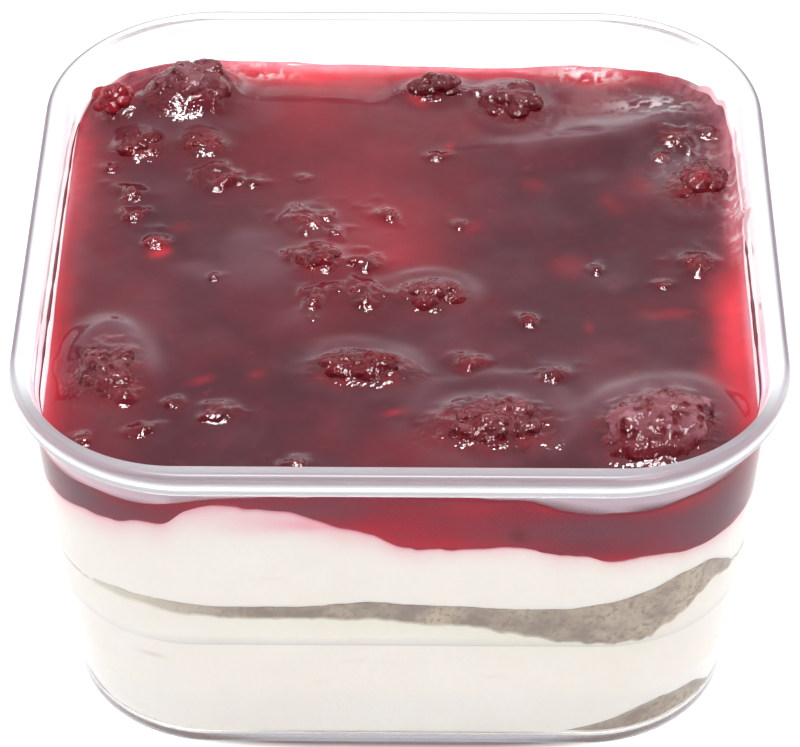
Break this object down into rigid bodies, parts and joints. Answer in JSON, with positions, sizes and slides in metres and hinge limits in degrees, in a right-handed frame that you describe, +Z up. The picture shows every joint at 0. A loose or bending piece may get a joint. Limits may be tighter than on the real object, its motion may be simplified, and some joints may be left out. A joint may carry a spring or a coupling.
{
  "type": "raspberry tiramisu in a clear cup",
  "caption": "Layered raspberry tiramisu in a clear square cup with round corners and a beaded rim: sponge and cream slabs under raspberry jelly set with berries.",
  "frame": {"origin": "middle of the cup's flat underside", "axes": "+Z up; the front, where the layers show with the cream's hump at the left, faces -Y; +X to the right"},
  "size_m": [0.09, 0.09, 0.049],
  "materials": {
    "clear_plastic": "clear, polished",
    "cream": "soft satin",
    "sponge": "moist, open crumb",
    "jelly": "wet, translucent",
    "berry": "glazed"
  },
  "bodies": {
    "root": {"cup": "clear_plastic", "sponge_lower": "sponge", "cream_lower": "cream", "sponge_middle": "sponge", "cream_upper": "cream", "jelly": "jelly", "berry_back_left": "berry", "berry_corner": "berry", "berry_left_of_mound": "berry", "berry_right_of_mound": "berry", "berry_back_wall": "berry", "berry_back": "berry", "berry_right_back": "berry", "berry_middle": "berry", "berry_middle_right": "berry", "berry_middle_front": "berry", "berry_left": "berry", "berry_front": "berry", "berry_front_right": "berry"}
  },
  "joints": []
}
